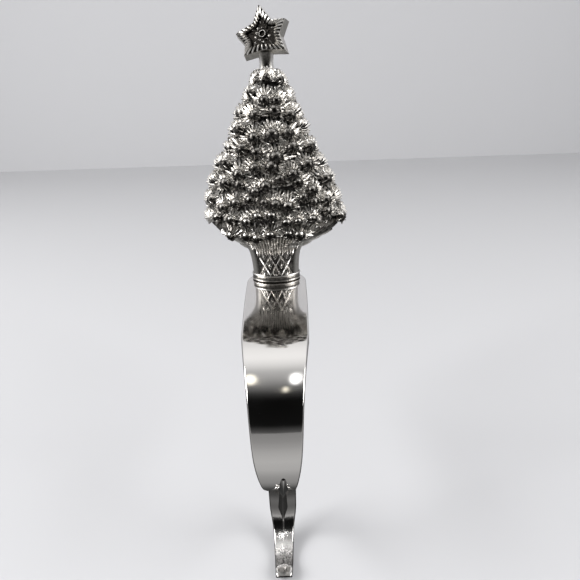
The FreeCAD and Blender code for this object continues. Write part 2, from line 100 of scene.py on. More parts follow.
def add_layer(mesh, label, values):
    """Keep a value at each of a mesh's points under a label."""
    mesh.attributes.new(label, "FLOAT", "POINT").data.foreach_set("value", values)


def new_object(name, points, faces, material, layers=None, smooth_angle=None):
    """Mesh object from points in millimetres, with layers of values at its points."""
    mesh = bpy.data.meshes.new(name)
    mesh.from_pydata([(p[0] * MM, p[1] * MM, p[2] * MM) for p in points], [], faces)
    mesh.validate()
    for label, values in (layers or {}).items():
        add_layer(mesh, label, values)
    mesh.shade_smooth()
    if smooth_angle is not None:
        mesh.set_sharp_from_angle(angle=math.radians(smooth_angle))
    mesh.materials.append(material)
    return linked(name, mesh)


def skin(rings, first, close_ends=True):
    """Faces that join equal rings of points, numbered from first."""
    count = len(rings[0])
    faces = []
    for r in range(len(rings) - 1):
        for i in range(count):
            j = (i + 1) % count
            a, b = first + r * count, first + (r + 1) * count
            faces.append((a + i, a + j, b + j, b + i))
    if close_ends:
        last = first + (len(rings) - 1) * count
        faces.append(tuple(reversed(range(first, first + count))))
        faces.append(tuple(range(last, last + count)))
    return faces


def whole_turn(corners):
    """Angles of a ring's corners, in radians."""
    return [2 * math.pi * i / corners for i in range(corners)]


def smooth_between(table, place):
    """Smooth value of a table of (place, value) rows, with no overshoot."""
    if place <= table[0][0]:
        return table[0][1]
    if place >= table[-1][0]:
        return table[-1][1]
    slopes = [(b[1] - a[1]) / (b[0] - a[0]) for a, b in zip(table, table[1:])]
    tangents = [slopes[0]]
    for low, high in zip(slopes, slopes[1:]):
        tangents.append(2 * low * high / (low + high) if low * high > 0 else 0.0)
    tangents.append(slopes[-1])
    for i, (a, b) in enumerate(zip(table, table[1:])):
        if place <= b[0]:
            span = b[0] - a[0]
            t = (place - a[0]) / span
            rise = (2 * t ** 3 - 3 * t ** 2 + 1) * a[1] + (3 * t ** 2 - 2 * t ** 3) * b[1]
            lean = (t ** 3 - 2 * t ** 2 + t) * tangents[i] + (t ** 3 - t ** 2) * tangents[i + 1]
            return rise + lean * span


def smoothstep(low, high, value):
    """0 below low, 1 above high, smooth between."""
    t = min(1.0, max(0.0, (value - low) / (high - low)))
    return t * t * (3 - 2 * t)


def sum_of_steps(rows, value):
    """Sum of smooth steps, from rows of (amount, low, high)."""
    return sum(amount * smoothstep(low, high, value) for amount, low, high in rows)


# Materials


class Recipe:
    """Material under construction, with short ways to add its nodes and join them."""

    def __init__(self, name):
        self.material = bpy.data.materials.new(name)
        self.material.use_nodes = True
        self.nodes = self.material.node_tree.nodes
        self.links = self.material.node_tree.links
        self.shader = self.nodes["Principled BSDF"]

    def feed(self, socket, value):
        """Set a socket to a number or colour, or join it to another node's output."""
        if isinstance(value, bpy.types.NodeSocket):
            self.links.new(value, socket)
        else:
            socket.default_value = value

    def fill(self, node, values):
        """Feed a node's sockets, named with underscores for spaces."""
        for label, value in values.items():
            self.feed(node.inputs[label.replace("_", " ")], value)

    def surface(self, **values):
        """Feed the shader's sockets."""
        self.fill(self.shader, values)

    def add(self, kind, output, **values):
        """Add a node, feed its sockets and give back one of its outputs."""
        node = self.nodes.new(kind)
        self.fill(node, values)
        return node.outputs[output]

    def noise(self, scale, detail=2.0):
        """Noise over the object's own coordinates."""
        place = self.add("ShaderNodeTexCoord", "Object")
        return self.add("ShaderNodeTexNoise", "Fac", Vector=place, Scale=scale, Detail=detail)

    def layer(self, name):
        """Values kept at the mesh's points under a name."""
        node = self.nodes.new("ShaderNodeAttribute")
        node.attribute_name = name
        return node.outputs["Fac"]

    def spread(self, value, from_low, from_high, to_low, to_high):
        """Value moved from one range to another and held at its ends."""
        ends = {"From_Min": from_low, "From_Max": from_high, "To_Min": to_low, "To_Max": to_high}
        return self.add("ShaderNodeMapRange", "Result", Value=value, **ends)

    def multiply_add(self, value, factor, more):
        """Value times factor, plus more."""
        node = self.nodes.new("ShaderNodeMath")
        node.operation = "MULTIPLY_ADD"
        for socket, part in zip(node.inputs, (value, factor, more)):
            self.feed(socket, part)
        return node.outputs["Value"]

    def ramp(self, value, stops):
        """Colour from stops of (place, colour), in rising order."""
        node = self.nodes.new("ShaderNodeValToRGB")
        elements = node.color_ramp.elements
        for element, stop in ((elements[0], stops[0]), (elements[1], stops[-1])):
            element.position, element.color = stop
        for place, colour in stops[1:-1]:
            elements.new(place).color = colour
        self.feed(node.inputs["Fac"], value)
        return node.outputs["Color"]

    def bump(self, height, strength, distance):
        """Normal bent by a height."""
        return self.add("ShaderNodeBump", "Normal", Height=height, Strength=strength, Distance=distance)


def polished_silver():
    """Mirror-polished silver plate with a faint haze, rough and pitted by its cast_skin layer, with painted
    reflections and shade in its colour.
    """
    recipe = Recipe("polished_silver")
    cast_skin = recipe.layer("cast_skin")
    haze = recipe.spread(recipe.noise(90.0, 4.0), 0.35, 0.75, 0.05, 0.13)
    pits = recipe.noise(1600.0, 4.0)
    specks = recipe.spread(pits, 0.52, 0.62, 0.0, -0.6)
    # Colour from the points' painted reflections and shade, darkened in the pits of the cast skin.
    painted_light_and_specks = recipe.multiply_add(specks, cast_skin, recipe.layer("relief_and_painted_light"))
    tone = recipe.ramp(painted_light_and_specks, [(0.1, (0.05, 0.045, 0.042, 1)), (0.95, (0.83, 0.81, 0.79, 1))])
    recipe.surface(Metallic=1.0, Base_Color=tone)
    recipe.surface(Roughness=recipe.multiply_add(cast_skin, 0.24, haze))
    recipe.surface(Normal=recipe.bump(pits, cast_skin, 0.0008))
    return recipe.material


def antique_silver():
    """Cast silver plate, dark in the recesses and bright on the high spots, from its points' layer of
    tones, which also carries painted highlights and shade.
    """
    recipe = Recipe("antique_silver")
    relief_and_painted_light = recipe.layer("relief_and_painted_light")
    grain = recipe.multiply_add(recipe.noise(900.0, 3.0), 0.3, -0.15)
    stops = [(0.16, (0.02, 0.018, 0.016, 1)), (0.42, (0.46, 0.44, 0.41, 1)), (0.75, (0.9, 0.88, 0.85, 1))]
    tone = recipe.ramp(recipe.multiply_add(relief_and_painted_light, 1.0, grain), stops)
    recipe.surface(Metallic=1.0, Base_Color=tone)
    recipe.surface(Roughness=recipe.spread(relief_and_painted_light, 0.1, 0.9, 0.32, 0.27))
    return recipe.material


def plain_metal(name, colour, roughness):
    """Plated steel with a slightly uneven finish."""
    recipe = Recipe(name)
    uneven = recipe.spread(recipe.noise(600.0), 0.0, 1.0, roughness * 0.7, roughness * 1.3)
    recipe.surface(Metallic=1.0, Base_Color=colour, Roughness=uneven)
    return recipe.material


def felt():
    """Dark felt with a short matted nap."""
    recipe = Recipe("felt")
    nap = recipe.noise(1500.0, 6.0)
    tone = recipe.ramp(nap, [(0.0, (0.012, 0.013, 0.015, 1)), (1.0, (0.06, 0.062, 0.07, 1))])
    recipe.surface(Base_Color=tone, Roughness=0.95, Sheen_Weight=0.4)
    recipe.surface(Normal=recipe.bump(nap, 0.5, 0.0003))
    return recipe.material


MIRROR = polished_silver()
ANTIQUE = antique_silver()
STEEL = plain_metal("screw_steel", (0.60, 0.59, 0.57, 1), 0.3)
FELT = felt()
NODE_MATERIALS = {"arm": MIRROR, "tree_figure": ANTIQUE, "fixing_screw": STEEL, "felt_pad": FELT}

for node, material in NODE_MATERIALS.items():
    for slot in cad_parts[node].material_slots:
        slot.material = material

# Strap

# Length down the strap's front face at which each stretch ends
Ends = namedtuple("Ends", "bulge run neck heel bowl tip")


def strap_stations():
    """Stations down the strap's front face: length, y, z and heading in degrees."""
    segments = [
        (BEND_RADIUS, BEND_TURN), (None, RUN_LENGTH), (NECK_RADIUS, 90.0 - BEND_TURN),
        (None, HEEL_LENGTH), (BOWL_RADIUS, -BOWL_TURN), (LIP_RADIUS, -LIP_TURN),
    ]
    y, z, heading, length = -BEND_START, PLATE_TOP, 0.0, 0.0
    stations, ends = [(length, y, z, heading)], []
    for radius, amount in segments:
        span = amount if radius is None else radius * math.radians(abs(amount))
        count = max(2, int(round(span / STATION_STEP)))
        for _ in range(count):
            turn = 0.0 if radius is None else amount / count
            middle = math.radians(heading + turn / 2)
            chord = span / count
            if radius is not None:
                chord = 2 * radius * math.sin(math.radians(abs(turn)) / 2)
            y -= chord * math.cos(middle)
            z -= chord * math.sin(middle)
            heading += turn
            length += span / count
            stations.append((length, y, z, heading))
        ends.append(length)
    return stations, Ends(*ends)


def with_tip(stations):
    """Stations with the ones that the blunt tip's chamfers start from."""
    length, y, z, heading = stations[-1]
    angle = math.radians(heading)
    kept = [s for s in stations if s[0] < length - TIP_FALL[0][0] - 0.2]
    for back, _ in TIP_FALL[:-1]:
        kept.append((length - back, y + back * math.cos(angle), z + back * math.sin(angle), heading))
    return kept + [stations[-1]]


def strap_normal(heading):
    """Direction out of the strap's front face."""
    angle = math.radians(heading)
    return Vector((0, -math.sin(angle), math.cos(angle)))


def edge_profile():
    """Rounded edge of the strap, front to back: inset from the side, depth and 1 for the front."""
    rows = []
    for i in range(ROUND_STEPS + 1):
        turn = math.pi / 2 * i / ROUND_STEPS
        rows.append((FRONT_ROUND * (1 - math.sin(turn)), FRONT_ROUND * (1 - math.cos(turn)), 1))
    for i in range(ROUND_STEPS + 1):
        turn = math.pi / 2 * i / ROUND_STEPS
        rows.append((BACK_ROUND * (1 - math.cos(turn)), STRAP_THICK - BACK_ROUND * (1 - math.sin(turn)), 0))
    return rows


def strap_width_table(ends):
    """Width of the strap against the length down it."""
    return [
        (0, 26.3),
        (ends.bulge * SHOULDER_TURN / BEND_TURN, 20.1),
        (ends.bulge * FOREMOST_TURN / BEND_TURN, 17.8),
        (ends.bulge, 13.0),
        (ends.heel, 12.1),
        (ends.bowl, 9.4),
        (ends.tip, 7.0),
    ]


def strap_section(edge, half, ridge, fall):
    """Section of the strap as (across, out), from one front edge round the back to the other."""
    right = []
    for inset, depth, front in edge:
        low = min(depth + (ridge + fall), STRAP_THICK - BACK_ROUND) if front else depth
        right.append((half - inset - TIP_DRAW * fall * front, -low))
    middle = right[0][1] if fall else 0.0
    return right + [(-across, out) for across, out in reversed(right)] + [(0.0, middle)]


def strap_rings(stations, ends, edge):
    """Rings of points round the strap at each of its stations."""
    widths = strap_width_table(ends)
    ridges = [(ends.run * RIDGE_START, 0.0), (ends.neck, RIDGE_HEIGHT), (ends.tip, RIDGE_HEIGHT)]
    rings = []
    for length, y, z, heading in stations:
        fall = 0.0
        for back, drop in TIP_FALL:
            if ends.tip - length < back + 0.01:
                fall = drop
        half, ridge = smooth_between(widths, length) / 2, smooth_between(ridges, length)
        place, normal = Vector((0, y, z)), strap_normal(heading)
        section = strap_section(edge, half, ridge, fall)
        rings.append([place + Vector((across, 0, 0)) + normal * out for across, out in section])
    return rings


def round_end(half, steps):
    """Half circle round the tongue's rear, right to left: x, y and outward direction."""
    rows = []
    for i in range(steps + 1):
        turn = math.pi * i / steps
        across, along = math.cos(turn), math.sin(turn)
        rows.append((half * across, half * along - TONGUE_BACK, across, along))
    return rows


def tongue_outline(half_front):
    """Edge of the tongue from the bulge round the rear and back: x, y and outward direction."""
    side = []
    for i in range(1, SIDE_STEPS):
        share = i / SIDE_STEPS
        width = half_front + (TONGUE_HALF - half_front) * math.sin(share * math.pi / 2)
        side.append((width, -BEND_START + share * (BEND_START - TONGUE_BACK), 1.0, 0.0))
    other_side = [(-x, y, -across, along) for x, y, across, along in reversed(side)]
    return side + round_end(TONGUE_HALF, BACK_STEPS) + other_side


def add_tongue(points, faces, edge, half_front):
    """Add the tongue's rounded edge, top and bottom behind the strap's first ring."""
    count = len(edge)
    columns = [list(range(count))]
    for x, y, across, along in tongue_outline(half_front):
        columns.append(list(range(len(points), len(points) + count)))
        for inset, depth, _ in edge:
            points.append(Vector((x - inset * across, y - inset * along, PLATE_TOP - depth)))
    columns.append([2 * count - 1 - i for i in range(count)])
    for near, far in zip(columns, columns[1:]):
        for i in range(count - 1):
            faces.append((near[i], far[i], far[i + 1], near[i + 1]))
    faces.append(tuple(reversed([column[0] for column in columns] + [2 * count])))
    faces.append(tuple(column[-1] for column in columns))


def strap_polish_and_painted_light(ends, length, on_edge):
    """Painted reflections and shade of the polish at a length down the strap, partly the duller cast skin
    towards the tip; 1 where it is brightest.
    """
    dullness_and_painted_light = sum_of_steps([
        (0.25, ends.run, ends.neck),
        (-0.1, ends.heel, ends.bowl + 2.0),
        (0.35, ends.tip - 13.0, ends.tip - 7.0),
        (-0.5, ends.tip - 3.4, ends.tip - 2.6),
        (0.5, ends.tip - 1.2, ends.tip - 0.1),
    ], length)
    # Edge rows get painted reflections of their own: darker along the bulge and from the heel on, lighter
    # at the tip's chamfer.
    if on_edge:
        above = sum_of_steps([(0.35, 10.0, 25.0), (0.3, ends.bulge - 25.0, ends.bulge - 8.0)], length)
        dullness_and_painted_light += above * (1 - smoothstep(ends.run, ends.neck, length))
        dullness_and_painted_light += sum_of_steps([
            (0.3, ends.heel - 3.0, ends.heel + 2.0),
            (-0.3, ends.tip - 3.4, ends.tip - 2.6),
        ], length)
    return 1.0 - dullness_and_painted_light


def cast_share(ends, length):
    """Share of rough cast skin at a length down the strap: none on the polish, 1 by the tip."""
    share = sum_of_steps([(0.1, ends.heel, ends.bowl), (0.9, ends.bowl + 5.0, ends.tip - 7.0)], length)
    return share * (1 - smoothstep(ends.tip - 3.4, ends.tip - 2.6, length))


def build_arm():
    """Strap as one closed skin, with its round tongue, and the keel on its front."""
    stations, ends = strap_stations()
    stations = with_tip(stations)
    edge = edge_profile()
    rings = strap_rings(stations, ends, edge)
    points = [p for ring in rings for p in ring]
    faces = skin(rings, 0, close_ends=False)
    size = len(rings[0])
    faces.append(tuple(range(len(points) - size, len(points))))
    add_tongue(points, faces, edge, strap_width_table(ends)[0][1] / 2)
    keel, keel_painted_light = keel_rings(stations, ends)
    # Painted reflections and shade go into each point's tone, the keel's included.
    tone, rough = [1.0] * len(points), [0.0] * len(points)
    for r, (length, _, _, _) in enumerate(stations):
        for i in range(size):
            on_edge = min(i, size - 2 - i) in EDGE_ROWS
            tone[r * size + i] = strap_polish_and_painted_light(ends, length, on_edge)
            rough[r * size + i] = cast_share(ends, length)
    faces += skin(keel, len(points))
    points += [p for ring in keel for p in ring]
    tone += [v for row in keel_painted_light for v in row]
    rough += [0.0] * (len(points) - len(rough))
    return new_object("strap", points, faces, MIRROR, {"relief_and_painted_light": tone, "cast_skin": rough}, smooth_angle=17)


def keel_rings(stations, ends):
    """Blunt keel on the bulge's lower edge that becomes a spear and a spine on the hook."""
    start, stop = ends.bulge - 15.0, ends.bowl + 2.5
    halves = [
        (start, 0.9), (start + 2.0, 1.2), (start + 8.0, 1.7), (ends.bulge, 2.1), (ends.run + 2.0, 1.6),
        (ends.neck, 2.1), (ends.heel, 2.45), (ends.heel + 2.5, 1.6), (ends.bowl - 3.8, 0.4), (stop, 0.2),
    ]
    heights = [
        (start, 0.15), (start + 1.6, 1.0), (start + 6.0, 2.0), (ends.bulge, 2.55), (ends.run, 2.0),
        (ends.heel, 1.7), (ends.bowl - 3.8, 0.5), (stop, 0.1),
    ]
    shifts = [(start, 1.7), (ends.bulge, 1.2), (ends.run, 0.3), (ends.heel, 0.0)]
    rings, keel_painted_lights = [], []
    for length, y, z, heading in stations:
        if start <= length <= stop:
            tall, half = smooth_between(heights, length), smooth_between(halves, length)
            normal = strap_normal(heading)
            place = Vector((smooth_between(shifts, length), y, z))
            drop = RIDGE_HEIGHT * smoothstep(ends.run * RIDGE_START, ends.neck, length)
            sunk = normal * -(drop * min(1.0, half / 4) + 0.15)
            crest = min(0.16, 0.4 * half)
            rings.append([
                place + normal * tall,
                place + Vector((crest, 0, 0)) + normal * (tall * 0.9),
                place + Vector((half, 0, 0)) + sunk,
                place + sunk * 2,
                place - Vector((half, 0, 0)) + sunk,
                place - Vector((crest, 0, 0)) + normal * (tall * 0.9),
            ])
            # Painted light on the keel: bright crest, darker flanks and foot.
            keel_painted_lights.append([1.0, 0.5, 0.36, 0.3, 0.36, 0.5])
    return rings, keel_painted_lights


# Felt

FELT_HALF, FELT_FRONT = 12.25, -50.0
# Edge of the felt from the underside up: inset and height
FELT_EDGE = [(0.35, 0.0), (0.1, 0.12), (0.0, 0.35), (0.0, 0.5), (0.12, 0.7), (0.4, 0.78)]
FELT_STEPS, FELT_FRONT_STEPS = 60, 40
# Most that the fuzz draws a point of the edge in
FUZZ = 0.1


def felt_outline():
    """Felt's edge: x, y and outward direction, with the round end at the rear."""
    rear = -TONGUE_BACK
    outline = round_end(FELT_HALF, FELT_STEPS)
    for i in range(1, FELT_STEPS):
        outline.append((-FELT_HALF, rear + (FELT_FRONT - rear) * i / FELT_STEPS, -1.0, 0.0))
    for i in range(1, FELT_FRONT_STEPS):
        outline.append((-FELT_HALF + 2 * FELT_HALF * i / FELT_FRONT_STEPS, FELT_FRONT, 0.0, -1.0))
    for i in range(1, FELT_STEPS):
        outline.append((FELT_HALF, FELT_FRONT + (rear - FELT_FRONT) * i / FELT_STEPS, 1.0, 0.0))
    return outline


def build_felt():
    """Felt sheet under the tongue, with a slightly fuzzy rounded edge."""
    outline, rings = felt_outline(), []
    for inset, z in FELT_EDGE:
        ring = []
        for x, y, across, along in outline:
            draw = inset + random.uniform(0.0, FUZZ)
            ring.append(Vector((x - draw * across, y - draw * along, z)))
        rings.append(ring)
    points = [p for ring in rings for p in ring]
    return new_object("felt_sheet", points, skin(rings, 0), FELT, smooth_angle=60)


# Tree

RING_HALF, RING_DEPTH, RING_HEIGHT = 11.9, 7.8, 3.8
TREE_FRONT, TREE_REAR = 12.2, 6.2
ROW_FIRST, ROW_PITCH, ROW_LAST = 30.2, 7.45, 98.0
BALL_PITCH, BALL_RADIUS = 6.0, 2.5
# Height over which beads and fans grow by a share, and beads stand wider apart
GROW_LOW, GROW_HIGH, GROW_SHARE, GROW_PITCH = 45.0, 60.0, 0.16, 1.0
UNDERSIDE_TOP = 34.0
TUFT_LOWEST = 29.6
FAN_LEAN = 40.0
FAN_ARCH = 0.28
# Height, left reach and right reach of the figure
OUTLINE = [
    (8.4, 11.2, 11.2), (13.5, 11.6, 11.4), (19.0, 12.6, 12.2), (23.0, 15.0, 14.4),
    (25.5, 17.6, 18.2), (28.0, 21.2, 23.4), (31.5, 26.2, 29.8), (36.0, 30.8, 32.6),
    (41.0, 31.2, 31.8), (50.0, 28.6, 27.6), (60.0, 24.2, 22.8), (70.0, 18.0, 17.6),
    (80.0, 14.4, 12.6), (90.0, 9.6, 9.2), (98.0, 6.2, 5.8), (101.5, 4.2, 4.4),
]
LEFT_TABLE = [(z, left) for z, left, _ in OUTLINE]
RIGHT_TABLE = [(z, right) for z, _, right in OUTLINE]
WAIST = OUTLINE[0][1]
WIDEST = max(left for _, left, _ in OUTLINE)
WIDEST_HEIGHT = [z for z, left, _ in OUTLINE if left == WIDEST][0]
# A tuft's two fans: spread, needles, near, far, lift at root and tip, width
TUFT_FANS = [
    (190, 11, 3.0, 7.0, (0.6, 0.2), 1.2),
    (250, 13, 2.0, 5.5, (1.3, 0.4), 1.1),
]
# A sprig's three fans, back to front: depth, far, lift at root and tip, spread
SPRIG_FANS = [
    (-1.5, 6.0, (0.6, 0.0), 150),
    (0.2, 6.3, (1.0, 0.2), 160),
    (1.6, 5.3, (1.6, 0.6), 150),
]
# Tone along a stroke over a bead's crest and over its face
CREST_LIGHTS = (0.6, 0.9, 1.0, 1.0, 1.0, 0.95)
FACE_LIGHTS = (0.3, 0.5, 0.5, 0.4, 0.3, 0.3)
CREST_STROKES, FACE_STROKES = 12, 6
# Fringe over the basket: height, drop, half width and needles of each row
FRINGE_ROWS = [
    (30.0, 5.4, 17.0, 23),
    (28.0, 5.0, 13.5, 21),
    (26.0, 4.6, 11.0, 19),
    (24.0, 4.6, 8.6, 15),
]
# Needles under the foliage's overhang: height and drop of each row
UNDERSIDE_ROWS = [(36.0, 4.6), (33.5, 4.4), (31.0, 4.2), (28.5, 3.8), (26.2, 3.4)]
UNDERSIDE_NEEDLES = 13


def reach(z):
    """Left reach, right reach, front bulge and back bulge of the foliage at a height."""
    left, right = smooth_between(LEFT_TABLE, z), smooth_between(RIGHT_TABLE, z)
    half = (left + right) / 2
    if z > WIDEST_HEIGHT:
        shrink = 0.25 + 0.75 * half / WIDEST
        return left, right, TREE_FRONT * shrink, TREE_REAR * shrink
    fullness = min(1.0, max(0.0, (half - WAIST) / (WIDEST - WAIST))) ** 0.7
    front = RING_DEPTH + fullness * (TREE_FRONT - RING_DEPTH)
    rear = RING_DEPTH + fullness * (TREE_REAR - RING_DEPTH)
    return left, right, front, rear


class Seat:
    """Place on a surface, with the directions out of it, to its right and up it."""

    def __init__(self, place, out, right, up):
        self.place, self.out, self.right, self.up = place, out, right, up

    def spoke(self, degrees):
        """Direction along the surface, turned from up towards the right."""
        angle = math.radians(degrees)
        return self.up * math.cos(angle) + self.right * math.sin(angle)

    def moved(self, step):
        """The same directions at a place moved by a vector."""
        return Seat(self.place + step, self.out, self.right, self.up)


def front_point(x, z):
    """Point on the smooth front of the figure over (x, z)."""
    left, right, front, _ = reach(z)
    share = x / (right if x > 0 else left)
    return Vector((x, -front * math.sqrt(max(0.02, 1 - share * share)), z))


def front_seat(x, z, step=0.5):
    """Seat on the smooth front of the figure over (x, z)."""
    right = (front_point(x + step, z) - front_point(x - step, z)).normalized()
    up = (front_point(x, z + step) - front_point(x, z - step)).normalized()
    out = right.cross(up).normalized()
    return Seat(front_point(x, z), out, right, out.cross(right))


class Casting:
    """Points, faces and relief values collected for one mesh."""

    def __init__(self):
        self.points, self.faces, self.relief_and_painted_light = [], [], []

    def add_rings(self, rings, relief_and_painted_light):
        """Add a closed skin over rings of points, with a relief value for each point."""
        first = len(self.points)
        self.points += [p for ring in rings for p in ring]
        self.relief_and_painted_light += [v for row in relief_and_painted_light for v in row]
        self.faces += skin(rings, first)

    def make(self, name, smooth_angle):
        """Mesh object of all that was added."""
        return new_object(name, self.points, self.faces, ANTIQUE, {"relief_and_painted_light": self.relief_and_painted_light}, smooth_angle)


def add_needle(cast, root, tip, out, width, arch, bright=1.0, blunt=0.16):
    """One needle: a tapered tent-shaped spike that arches from root to tip."""
    along = tip - root
    side = along.cross(out).normalized()
    profile = [
        (0.0, 0.75, 0.3), (0.3, 1.0, 0.75), (0.65, 0.85, 1.0), (0.92, 0.5 + blunt / 2, 1.0),
        (1.0, blunt, 1.0),
    ]
    rings, relief_and_painted_light = [], []
    for share, wide, light in profile:
        middle = root + along * share + out * (arch * 4 * share * (1 - share))
        half = width * wide / 2
        rings.append([
            middle + out * half * 0.9,
            middle - side * half - out * half * 0.5,
            middle + side * half - out * half * 0.5,
        ])
        relief_and_painted_light.append([light * bright, 0.5 * light * bright, 0.5 * light * bright])
    cast.add_rings(rings, relief_and_painted_light)


def add_fan(cast, seat, lean, spread, count, near, far, lift, width, blunt):
    """Fan of needles round a seat, opening about its up direction turned by lean."""
    for i in range(count):
        share = (i + 0.5) / count - 0.5 + random.uniform(-0.25, 0.25) / count
        spoke = seat.spoke(lean + spread * share)
        length = far * random.uniform(0.92, 1.04)
        root = seat.place + spoke * near + seat.out * lift[0]
        tip = seat.place + spoke * length + seat.out * (lift[1] + random.uniform(-0.2, 0.2))
        wide = width * random.uniform(0.85, 1.15)
        add_needle(cast, root, tip, seat.out, wide, FAN_ARCH, random.uniform(0.8, 1.05), blunt)


def add_ball(cast, seat, radius, face=0.18):
    """Smooth bead, dark on its face, with a painted highlight on its upper side."""
    corners, levels = 16, 9
    low, high = -50, 86.0
    rings, relief_and_painted_light = [], []
    for k in range(levels):
        latitude = math.radians(low + (high - low) * k / (levels - 1))
        tall, wide = math.sin(latitude), math.cos(latitude)
        ring, row = [], []
        for turn in whole_turn(corners):
            flat = seat.right * (wide * math.cos(turn)) + seat.up * (wide * math.sin(turn))
            ring.append(seat.place + (flat + seat.out * tall) * radius)
            # Painted highlight on the side towards the seat's up direction.
            row.append(face + 0.8 * smoothstep(0.4, 0.9, wide * math.sin(turn)))
        rings.append(ring)
        relief_and_painted_light.append(row)
    cast.add_rings(rings, relief_and_painted_light)


def add_stroke(cast, seat, degrees, radius, near, far, sink, width, lights):
    """Ridge that climbs over a bead's face, from near to its rim in degrees, and runs on to far."""
    out, spoke = seat.out, seat.spoke(degrees)
    side = out.cross(spoke).normalized()
    rim, rim_share, lift = 84.0, 0.6, 0.12
    rings, relief_and_painted_light = [], []
    for k, light in enumerate(lights):
        share = k / (len(lights) - 1)
        if share < rim_share:
            polar = math.radians(near + (rim - near) * share / rim_share)
            normal = out * math.cos(polar) + spoke * math.sin(polar)
            middle = seat.place + normal * (radius + lift)
        else:
            run = (share - rim_share) / (1 - rim_share)
            middle = seat.place + spoke * (radius + run * (far - radius)) + out * (0.3 - sink * run)
            normal = (out * 0.75 + spoke * 0.65).normalized()
        half = width / 2 * (0.55 + 0.45 * math.sin(math.pi * min(1.0, share + 0.1)))
        rings.append([
            middle + normal * half * 0.9,
            middle - side * half - normal * half * 0.6,
            middle + side * half - normal * half * 0.6,
        ])
        relief_and_painted_light.append([light, 0.4 * light, 0.4 * light])
    cast.add_rings(rings, relief_and_painted_light)


def add_tuft(cast, x, z, scale=1.0):
    """A dark hatched bead with bright needles that spread from its top over the ground behind it."""
    first = len(cast.relief_and_painted_light)
    seat = front_seat(x, z)
    left, right, _, _ = reach(z)
    lean = FAN_LEAN * x / max(left, right) + random.uniform(-9, 9)
    grown = 1 + GROW_SHARE * smoothstep(GROW_LOW, GROW_HIGH, z)
    radius = BALL_RADIUS * scale * random.uniform(0.9, 1.08) * grown
    outer = abs(x) / (right if x > 0 else left)
    inner_growth = (grown - 1) * (1 - smoothstep(0.5, 0.8, outer))
    comb = scale * (1 + inner_growth - 0.14 * smoothstep(0.7, 0.9, outer))
    for spread, count, near, far, lift, width in TUFT_FANS:
        add_fan(cast, seat, lean, spread, count, near * scale, far * comb, lift, width, 0.5)
    bead = seat.moved(seat.out * 1.5).moved(seat.up * -0.3)
    add_ball(cast, bead, radius)
    for i in range(CREST_STROKES):
        angle = lean + 210.0 * ((i + 0.5) / CREST_STROKES - 0.5) + random.uniform(-6, 6)
        far = radius + random.uniform(1.0, 1.8) * scale
        glint = random.uniform(0.75, 1.1)
        lights = [glint * light for light in CREST_LIGHTS]
        add_stroke(cast, bead, angle, radius, random.uniform(58, 72), far, 1.2, 0.9, lights)
    for i in range(FACE_STROKES):
        angle = 360.0 / FACE_STROKES * i + random.uniform(-20, 20)
        near = random.uniform(15, 35)
        add_stroke(cast, bead, angle, radius, near, radius + 0.3, 0.8, 0.5, FACE_LIGHTS)
    # Painted shade under the overhang: tufts this low are darkened to 0.7 of their tone.
    if z < UNDERSIDE_TOP:
        cast.relief_and_painted_light[first:] = [0.7 * v for v in cast.relief_and_painted_light[first:]]


def add_sprig(cast, x, z, side, lean, scale=1.0):
    """Round sprig of fine needles that points outwards from the outline."""
    out, up = Vector((side * 0.25, -0.97, 0)).normalized(), Vector((0, 0, 1))
    seat = Seat(Vector((x, -1.2, z)), out, up.cross(out), up)
    for depth, far, lift, spread in SPRIG_FANS:
        add_fan(cast, seat.moved(out * depth), lean, spread, 11, 1.2 * scale, far * scale, lift, 1.35, 0.7)
    add_ball(cast, seat.moved(seat.spoke(lean) * (2.3 * scale)), 3.3 * scale)


def add_edge_sprigs(cast, z, left, right):
    """Sprigs at both ends of a row of tufts, with smaller ones above and further in."""
    for side, half in ((-1, left), (1, right)):
        inset = 3.9 * min(1.0, 0.3 + half / 20)
        scale = (1.0 + 0.14 * smoothstep(44.0, 52.0, z)) * (1.0 - 0.45 * smoothstep(84.0, 96.0, z))
        height = z + random.uniform(-0.6, 1.2)
        add_sprig(cast, side * (half - inset), height, side, side * 62, scale)
        if z < 88.0:
            add_sprig(cast, side * (half - inset - 3.2), z + 4.2, side, side * 50, 0.72 * scale)


def add_rows(cast):
    """Wavy rows of tufts over the front, up to the crown."""
    z, number = ROW_FIRST, 0
    while z < ROW_LAST:
        left, right, _, _ = reach(z)
        low, high = -left + 1.6, right - 1.6
        if z < UNDERSIDE_TOP:
            low, high = 0.9 * low, 0.62 * high
        else:
            add_edge_sprigs(cast, z, left, right)
        wider = smoothstep(GROW_LOW, GROW_HIGH, z) * (1 - smoothstep(82.0, 92.0, z))
        count = max(2, int(round((high - low) / (BALL_PITCH + GROW_PITCH * wider))))
        shift = 0.25 if number % 2 else -0.25
        crown = smoothstep(84.0, 97.0, z)
        for i in range(count):
            x = low + (high - low) * (i + 0.5 + shift) / count
            scale = 1.0 - 0.45 * crown
            wave = 1.7 * math.sin(0.27 * x + 2.1 * number) * (1 - crown)
            across, up = random.uniform(-1.1, 1.1), random.uniform(-1.5, 1.5)
            add_tuft(cast, x + across, max(TUFT_LOWEST, z + wave + up), scale * random.uniform(0.9, 1.1))
        z += ROW_PITCH
        number += 1


def add_fringe(cast):
    """Rows of needles that hang from the foliage over the basket's front."""
    for top, drop, half, count in FRINGE_ROWS:
        for i in range(count):
            x = half * (2 * i / (count - 1) - 1)
            seat = front_seat(x, top)
            foot = x * (0.94 - 0.02 * (top - 24.2)) + random.uniform(-0.3, 0.3)
            tip = front_seat(foot, top - drop + random.uniform(-0.6, 0.8)).place
            root, tip = seat.place + seat.out * 0.5, tip + seat.out * 0.5
            add_needle(cast, root, tip, seat.out, 1.2, 0.35, 0.85)


